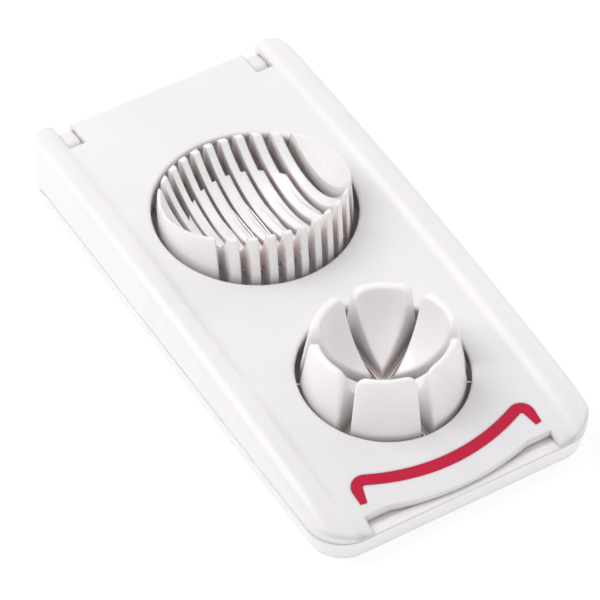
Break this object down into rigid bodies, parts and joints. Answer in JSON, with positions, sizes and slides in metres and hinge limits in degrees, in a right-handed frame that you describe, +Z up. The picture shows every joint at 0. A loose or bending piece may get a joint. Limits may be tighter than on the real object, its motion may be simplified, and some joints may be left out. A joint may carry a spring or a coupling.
{
  "type": "egg slicer",
  "caption": "Hinged egg slicer: a low tray with a slotted egg dish and a petal cup under an arched lid whose wires cut slices on one side and wedges on the other.",
  "frame": {"origin": "centre of the footprint, on the table under the tray", "axes": "+Z up, +Y from the thumb end toward the hinge, +X to the right seen from the thumb end"},
  "size_m": [0.092, 0.178, 0.035],
  "materials": {
    "white_plastic": "moulded white plastic, semi-gloss",
    "red_plastic": "red plastic, semi-gloss",
    "steel": "bright drawn stainless wire"
  },
  "bodies": {
    "base": {"base_tray": "white_plastic", "slicing_cradle": "white_plastic", "wedging_cup": "white_plastic", "hinge_pin_left": "steel", "hinge_pin_right": "steel"},
    "lid": {"lid_shell": "white_plastic", "slicing_ring": "white_plastic", "wedging_ring": "white_plastic", "accent_inlay": "red_plastic", "slice_wire_01": "steel", "slice_wire_02": "steel", "slice_wire_03": "steel", "slice_wire_04": "steel", "slice_wire_05": "steel", "slice_wire_06": "steel", "slice_wire_07": "steel", "slice_wire_08": "steel", "slice_wire_09": "steel", "slice_wire_10": "steel", "wedge_wire_1": "steel", "wedge_wire_2": "steel", "wedge_wire_3": "steel"}
  },
  "joints": [
    {"name": "lid_hinge", "type": "hinge", "parent": "base", "child": "lid", "pos_m": [0, 0.0825, 0.015], "axis": [-1, 0, 0], "range_deg": [0, 95]}
  ]
}
